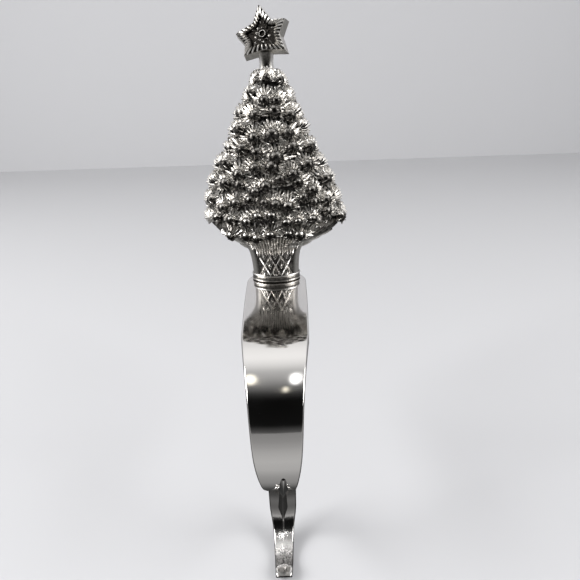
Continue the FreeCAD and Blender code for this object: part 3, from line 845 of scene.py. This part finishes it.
def add_underside(cast):
    """Rows of needles down both sides of the overhang, where the front row leaves it bare."""
    for top, drop in UNDERSIDE_ROWS:
        upper, lower = reach(top), reach(top - drop)
        for side, hand, first in ((-1, 0, 0.7), (1, 1, 0.45)):
            for i in range(UNDERSIDE_NEEDLES):
                place = i + random.uniform(-0.3, 0.3)
                share = side * (first + (0.93 - first) * place / (UNDERSIDE_NEEDLES - 1))
                seat = front_seat(share * upper[hand], top + random.uniform(-0.5, 0.5))
                tip = front_seat(share * 0.92 * lower[hand], top - drop).place
                root, tip = seat.place + seat.out * 0.4, tip + seat.out * 0.4
                add_needle(cast, root, tip, seat.out, 1.5, 0.5, random.uniform(0.6, 1.0))


def build_foliage():
    """Rows of tufts, sprigs along the outline and at the top, and needles below."""
    cast = Casting()
    add_rows(cast)
    for x, lean in ((-4.4, -30), (0.2, 0), (4.4, 28)):
        add_sprig(cast, x, 95.6, 1 if lean > 0 else -1, lean, 0.72)
    add_fringe(cast)
    add_underside(cast)
    return cast.make("foliage", 35)


def build_mass():
    """Smooth basket, flare and back, dark on the front under the needles."""
    cast = Casting()
    corners = 120
    rings, relief_and_painted_light = [], []
    z, top = OUTLINE[0][0], OUTLINE[-1][0]
    while z <= top + 1e-6:
        left, right, front, rear = reach(z)
        ring, row = [], []
        for turn in whole_turn(corners):
            across, out = math.cos(turn), math.sin(turn)
            x = across * (right if across > 0 else left)
            y = -out * (front if out > 0 else rear)
            ring.append(Vector((x, y, z)))
            frontness = smoothstep(0.0, 0.25, out)
            leafy = smoothstep(22.0, 27.0, z) * frontness
            if 27.0 < z < 36.0:
                leafy *= 1 - smoothstep(0.55, 0.8, abs(across))
            woven = (1 - smoothstep(21.0, 23.0, z)) * (1 - smoothstep(0.72, 0.86, abs(across))) * frontness
            row.append(0.62 - 0.4 * leafy - 0.4 * woven)
        rings.append(ring)
        relief_and_painted_light.append(row)
        z += 0.6
    cast.add_rings(rings, relief_and_painted_light)
    return cast.make("foliage_back", 40)


# Profile of the oval foot: share of its height, how far it is drawn in, tone
FOOT_PROFILE = [
    (0.0, 0.4, 0.03), (0.08, 0.15, 0.08), (0.14, 0.02, 0.35), (0.2, 0.0, 0.6), (0.25, 0.06, 0.4),
    (0.3, 0.24, 0.24), (0.5, 0.3, 0.3), (0.7, 0.26, 0.24), (0.76, 0.06, 0.4), (0.81, 0.0, 0.75),
    (0.87, 0.02, 0.85), (0.93, 0.12, 0.6), (1.0, 0.5, 0.2),
]


def build_foot():
    """Oval foot with beads below and above a dark groove."""
    cast = Casting()
    corners = 96
    turns = whole_turn(corners)
    ratio = RING_DEPTH / RING_HALF
    rings, relief_and_painted_light = [], []
    for share, drawn_in, light in FOOT_PROFILE:
        half = RING_HALF - drawn_in
        z = PLATE_TOP + share * RING_HEIGHT
        rings.append([Vector((half * math.cos(t), -half * ratio * math.sin(t), z)) for t in turns])
        relief_and_painted_light.append([light] * corners)
    cast.add_rings(rings, relief_and_painted_light)
    return cast.make("oval_foot", 50)


def add_rib(cast, spots, width, height, light):
    """Raised rib that follows spots (x, z) on the basket's front."""
    if len(spots) < 3:
        return
    rings, relief_and_painted_light = [], []
    seats = [front_seat(x, z) for x, z in spots]
    for i, seat in enumerate(seats):
        ahead = seats[min(i + 1, len(seats) - 1)].place - seats[max(i - 1, 0)].place
        side = ahead.cross(seat.out).normalized() * (width / 2)
        place, sunk = seat.place, seat.out * 0.25
        rings.append([place + seat.out * height, place + side - sunk, place - side - sunk])
        relief_and_painted_light.append([light, 0.3 * light, 0.3 * light])
    cast.add_rings(rings, relief_and_painted_light)


# Lattice: its reach in height and width, spacing and lean of its ribs, step along them
BASKET_LOW, BASKET_HIGH, BASKET_HALF = 8.6, 21.0, 8.0
RIB_PITCH, RIB_SLOPE, RIB_STEP = 5.3, 0.55, 0.9
# Outlines in each diamond: half width, half length as a share of the diamond's height, tone
LEAVES = [(1.3, 0.37, 1.0), (0.55, 0.25, 0.95)]
LEAF_STEPS = 10


def add_crossing_ribs(cast):
    """Ribs that cross the basket both ways."""
    for sign in (-1, 1):
        for i in range(-2, 6):
            start = sign * (i * RIB_PITCH - BASKET_HALF)
            spots = []
            z = BASKET_LOW
            while z <= BASKET_HIGH:
                x = start + sign * RIB_SLOPE * (z - BASKET_LOW)
                if abs(x) <= BASKET_HALF:
                    spots.append((x, z))
                z += RIB_STEP
            add_rib(cast, spots, 0.8, 0.38, 0.9)


def add_leaf(cast, centre_x, centre_z, tall):
    """Leaf in one diamond, as outlines on both its sides."""
    for sign in (-1, 1):
        for wide, long, light in LEAVES:
            spots = []
            for k in range(LEAF_STEPS + 1):
                share = k / LEAF_STEPS
                z = centre_z + long * tall * (2 * share - 1)
                if BASKET_LOW <= z <= BASKET_HIGH:
                    spots.append((centre_x + sign * wide * math.sin(math.pi * share), z))
            add_rib(cast, spots, 0.55, 0.32, light)


def build_lattice():
    """Diamond lattice of the basket, with a leaf in each diamond."""
    cast = Casting()
    add_crossing_ribs(cast)
    tall = RIB_PITCH / RIB_SLOPE
    for row in range(3):
        centre_z = BASKET_LOW + tall / 2 * (row + 0.5)
        for i in range(-1, 4):
            centre_x = -BASKET_HALF + RIB_PITCH * (i + 0.5 * (row % 2)) + RIB_PITCH / 2
            if abs(centre_x) <= BASKET_HALF - 1.2:
                add_leaf(cast, centre_x, centre_z, tall)
    return cast.make("basket_lattice", 50)


# Star

STAR_HEIGHT, STAR_OFFSET, STAR_THICK = 114.4, -1.1, 5.2
STAR_GROWTH, STAR_BORDER, STAR_RECESS = 1.07, 0.6, 0.9
STAR_LEAN, STAR_YAW = 18.0, 17.0
# Corners of the star, across and up from its middle
STAR_POINTS = [
    (-2.4, 12.3), (-4.6, 4.9), (-12.1, 0.6), (-7.6, -4.0), (-7.7, -8.8),
    (1.6, -6.6), (10.4, -6.8), (7.7, -0.3), (9.6, 5.9), (3.6, 5.7),
]
BORDER_RIBS = 4
# Ring boss in the star's middle: radius, depth behind the border and tone
BOSS_PROFILE = [
    (1.6, 0.9, 0.03), (1.52, 0.2, 0.2), (1.42, -0.1, 0.5), (1.26, -0.1, 0.5), (1.12, 0.2, 0.1),
    (0.95, 0.8, 0.0),
]
BOSS_CORNERS = 24
BOSS_BEADS = 10
STEM_RADIUS, STEM_TOP = 3.2, 108.0
# Stem from the bottom up: share of its height and of its radius
STEM_PROFILE = [(0, 1.2), (0.2, 1.08), (0.4, 1.0), (0.55, 0.97), (0.7, 1.0), (0.85, 1.07), (1, 1.15)]


def star_corners(scale, depth, drawn_in=0.0):
    """Ten-cornered outline in the star's own upright plane, drawn in by millimetres."""
    corners = []
    for across, up in STAR_POINTS:
        size = math.hypot(across, up)
        keep = scale * (size - drawn_in) / size
        corners.append(Vector((keep * across, depth, keep * up)))
    return corners


def add_star_border(cast, front, out):
    """Ribs across the border between the star's edge and its recess."""
    outer_edge = star_corners(1.0, front, 0.25)
    inner_edge = star_corners(STAR_BORDER, front, -0.3)
    for i in range(len(STAR_POINTS)):
        j = (i + 1) % len(STAR_POINTS)
        for k in range(BORDER_RIBS):
            share = (k + 0.5) / BORDER_RIBS
            outer = outer_edge[i].lerp(outer_edge[j], share)
            inner = inner_edge[i].lerp(inner_edge[j], share)
            bright = random.uniform(0.85, 1.1)
            add_needle(cast, inner + out * 0.15, outer - out * 0.1, out, 0.95, 0.5, bright, 0.8)


def add_boss(cast, front, out):
    """Ring boss in the recess, with beads round it and short needles outside every second bead."""
    turns = whole_turn(BOSS_CORNERS)
    rings, relief_and_painted_light = [], []
    for radius, depth, light in BOSS_PROFILE:
        rings.append([Vector((radius * math.cos(t), front + depth, radius * math.sin(t))) for t in turns])
        relief_and_painted_light.append([light] * BOSS_CORNERS)
    cast.add_rings(rings, relief_and_painted_light)
    floor = Vector((0, front + STAR_RECESS, 0))
    for i in range(BOSS_BEADS):
        turn = math.radians(95 + 360 / BOSS_BEADS * i)
        spoke = Vector((math.cos(turn), 0, math.sin(turn)))
        across = Vector((-spoke.z, 0, spoke.x))
        seat = Seat(floor + spoke * (2.7 + 0.5 * (i % 2)) - out * 0.2, out, spoke, across)
        add_ball(cast, seat, 0.72, random.uniform(0.1, 0.5))
        if i % 2 == 0:
            for side in (-1, 1):
                root = floor + spoke * 3.9 + across * side
                tip = floor + spoke * 5.8 + across * (0.6 * side)
                add_needle(cast, root, tip, out, 0.6, 0.3, 0.8)


def build_star():
    """Star with drafted walls, a ribbed border round a dark recess and a ring boss."""
    cast = Casting()
    front, back = -STAR_THICK / 2, STAR_THICK / 2
    rings = [
        star_corners(STAR_GROWTH, back, 0.5),
        star_corners(STAR_GROWTH, back - 0.4, 0.05),
        star_corners(1.0, front + 0.5, 0.05),
        star_corners(1.0, front + 0.2, 0.35),
        star_corners(STAR_BORDER, front + 0.1, -0.5),
        star_corners(STAR_BORDER, front + 0.4, -0.1),
        star_corners(STAR_BORDER, front + STAR_RECESS, 0.3),
    ]
    lights = [0.5, 0.5, 0.5, 0.1, 0.05, 0.05, 0.04]
    cast.add_rings(rings, [[light] * len(STAR_POINTS) for light in lights])
    out = Vector((0, -1, 0))
    add_star_border(cast, front, out)
    add_boss(cast, front, out)
    lean = Matrix.Rotation(math.radians(-STAR_LEAN), 4, "X")
    yaw = Matrix.Rotation(math.radians(-STAR_YAW), 4, "Z")
    turn = Matrix.Translation(Vector((STAR_OFFSET, 0, STAR_HEIGHT))) @ yaw @ lean
    cast.points = [turn @ p for p in cast.points]
    return cast.make("star", 25)


def build_stem():
    """Waisted stem between the foliage and the star, with painted shade on its front."""
    cast = Casting()
    corners = 32
    turns = whole_turn(corners)
    low, high, middle = OUTLINE[-1][0] - 3, STEM_TOP, STAR_OFFSET / 2
    rings, relief_and_painted_light = [], []
    for share, wide in STEM_PROFILE:
        z, radius = low + share * (high - low), STEM_RADIUS * wide
        rings.append([Vector((middle + radius * math.cos(t), -radius * math.sin(t), z)) for t in turns])
        # Painted shade on the front.
        relief_and_painted_light.append([0.85 - 0.6 * smoothstep(0.6, 0.9, math.sin(t)) for t in turns])
    cast.add_rings(rings, relief_and_painted_light)
    return cast.make("stem", 40)


arm_skin = build_arm()
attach(arm_skin, "root")
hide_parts("arm")

felt_sheet = build_felt()
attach(felt_sheet, "root")
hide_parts("felt_pad")

for piece in (build_foliage(), build_mass(), build_foot(), build_lattice(), build_star(), build_stem()):
    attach(piece, "root")
    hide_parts("tree_figure")

# Stage, in metres

FLOOR_LEVEL = cad_box[0][2]
STAGE_HALF, STAGE_BACK, STAGE_TOP = 3, 1.2, 3
ARCH_HALF, ARCH_RADIUS = 2.4, 1.6
PATCH_RADIUS, PATCH_COLUMNS = 1.5, 12
GROUND_HALF, GROUND_LIFT = 1.5, 0.001
# Shade of the studio against the angle from level in front, over the top, to level behind
ROOM = [
    (-4, 0.10), (2, 0.04), (7, 0.006), (38, 0.004), (46, 0.03), (54, 0.14), (62, 0.28), (70, 0.42),
    (78, 0.54), (86, 0.76), (94, 0.93), (102, 1.02), (116, 0.96), (132, 0.82), (166, 0.84),
]
# Shade of the ground against the distance behind the tree's axis, negative towards the viewer
GROUND = [
    (-2.5, 0.24), (-0.6, 0.27), (-0.378, 0.30), (-0.275, 0.36), (-0.222, 0.43), (-0.165, 0.50),
    (-0.133, 0.46), (-0.111, 0.34), (-0.092, 0.27), (-0.080, 0.18), (-0.067, 0.08), (-0.048, 0.04),
    (-0.03, 0.10), (0.03, 0.22), (1.1, 0.30),
]


def matte(name, colour):
    """Plain matt material for the stage."""
    recipe = Recipe(name)
    recipe.surface(Base_Color=colour, Roughness=0.9)
    return recipe.material


def glow(name, colour, strength, see_through):
    """Glowing material, for sheets only seen in reflections, scaled by each point's shade."""
    recipe = Recipe(name)
    bright = recipe.multiply_add(recipe.layer("shade"), strength, 0.0)
    both = recipe.nodes.new("ShaderNodeAddShader")
    recipe.feed(both.inputs[0], recipe.add("ShaderNodeEmission", "Emission", Color=colour, Strength=bright))
    if see_through:
        recipe.feed(both.inputs[1], recipe.add("ShaderNodeBsdfTransparent", "BSDF"))
    recipe.feed(recipe.nodes["Material Output"].inputs["Surface"], both.outputs["Shader"])
    return recipe.material


def stage_object(name, corners, faces, material):
    """Stage mesh from corners in metres."""
    mesh = bpy.data.meshes.new(name)
    mesh.from_pydata(corners, [], faces)
    mesh.materials.append(material)
    item = linked(name, mesh)
    return item


def reflected_sheet(name, low_x, high_x, rows, material, columns=1):
    """Sheet across the scene that only reflections see: rows of (y, z, shade).

    With more columns, the sheet fades to an oval patch.
    """
    corners, faces, shades = [], [], []
    for r, (y, z, shade) in enumerate(rows):
        for c in range(columns + 1):
            corners.append((low_x + (high_x - low_x) * c / columns, y, z))
            keep = 1.0
            if columns > 1:
                off = math.hypot(2 * c / columns - 1, 2 * r / (len(rows) - 1) - 1)
                keep = 1.0 - smoothstep(0.45, 1.0, off)
            shades.append(shade * keep)
    wide = columns + 1
    for r in range(len(rows) - 1):
        for c in range(columns):
            a, b = r * wide + c, (r + 1) * wide + c
            faces.append((a, a + 1, b + 1, b))
    item = stage_object(name, corners, faces, material)
    add_layer(item.data, "shade", shades)
    item.visible_camera = False
    item.visible_diffuse = False
    item.visible_shadow = False


def arch_rows(radius, table, low, high, step=2.0):
    """Rows of an arch from the front over the top to the back, its shade read from a table."""
    rows = []
    count = max(1, int(round((high - low) / step)))
    for i in range(count + 1):
        turn = low + (high - low) * i / count
        rise = math.radians(turn)
        rows.append((-radius * math.cos(rise), radius * math.sin(rise), smooth_between(table, turn)))
    return rows


def lamp(name, place, size, power):
    """Soft square lamp that faces the origin."""
    data = bpy.data.lights.new(name, "AREA")
    data.size = size
    data.energy = power
    item = linked(name, data)
    item.location = place
    item.rotation_euler = (-Vector(place)).to_track_quat("-Z", "Y").to_euler()


PALE = matte("pale_floor", (0.55, 0.55, 0.56, 1))
GLOW = glow("studio_glow", (1, 1, 1, 1), 1.0, False)
WINDOW = glow("window_glow", (1, 1, 1, 1), 2.4, True)
WARM = glow("warm_window_glow", (1, 0.94, 0.78, 1), 1.4, True)

front, back, top = (-STAGE_HALF, FLOOR_LEVEL), (STAGE_BACK, FLOOR_LEVEL), (STAGE_BACK, STAGE_TOP)
for name, low, high in (("floor", front, back), ("backdrop", back, top)):
    corners = [(-STAGE_HALF, *low), (STAGE_HALF, *low), (STAGE_HALF, *high), (-STAGE_HALF, *high)]
    stage_object(name, corners, [(0, 1, 2, 3)], PALE)

reflected_sheet("studio_arch", -ARCH_HALF, ARCH_HALF, arch_rows(ARCH_RADIUS, ROOM, -4.0, 166.0), GLOW)
for name, low_x, high_x, low, high, material in (
    ("window_right", 0.08, 0.22, 56.0, 77.0, WINDOW),
    ("window_left", -0.37, -0.20, 57.0, 77.0, WARM),
    ("window_small", 0.02, 0.09, 47.0, 57.0, WARM),
):
    patch = arch_rows(PATCH_RADIUS, [(0, 1.0), (180, 1.0)], low, high)
    reflected_sheet(name, low_x, high_x, patch, material, PATCH_COLUMNS)
ground = [(y, FLOOR_LEVEL + GROUND_LIFT, shade) for y, shade in GROUND]
reflected_sheet("ground_glow", -GROUND_HALF, GROUND_HALF, ground, GLOW)

lamp("key", (-1.1, -0.35, 0.8), 0.8, 22)
lamp("fill", (1.05, -0.45, 0.75), 0.8, 14)

world = bpy.data.worlds.new("studio")
world.use_nodes = True
background = world.node_tree.nodes["Background"]
background.inputs["Color"].default_value = (0.8, 0.8, 0.82, 1)
background.inputs["Strength"].default_value = 0.6
bpy.context.scene.world = world

# Camera

PHOTO_SIDE = 580.0
FOCAL_PIXELS = 530.0
CENTRE_X, CENTRE_Y = 289.0, 290.0
SENSOR = 36.0
CAMERA_PLACE = Vector((0.006, -0.2497, 0.0949))
TILT, ROLL = math.radians(21.2), math.radians(1.9)


def add_camera():
    """Camera at the photograph's place, tilt, roll and focal length."""
    data = bpy.data.cameras.new("camera")
    data.sensor_width = SENSOR
    data.lens = SENSOR * FOCAL_PIXELS / PHOTO_SIDE
    data.shift_x = (PHOTO_SIDE / 2 - CENTRE_X) / PHOTO_SIDE
    data.shift_y = (CENTRE_Y - PHOTO_SIDE / 2) / PHOTO_SIDE
    data.clip_start = 0.01
    ahead = Vector((0, math.cos(TILT), -math.sin(TILT)))
    level_up = Vector((0, math.sin(TILT), math.cos(TILT)))
    level_right = Vector((1, 0, 0))
    right = math.cos(ROLL) * level_right - math.sin(ROLL) * level_up
    up = math.sin(ROLL) * level_right + math.cos(ROLL) * level_up
    turn = Matrix((right, up, -ahead)).transposed()
    item = linked("camera", data)
    item.matrix_world = Matrix.Translation(CAMERA_PLACE) @ turn.to_4x4()
    bpy.context.scene.camera = item


add_camera()

bpy.context.scene.view_settings.view_transform = "Standard"
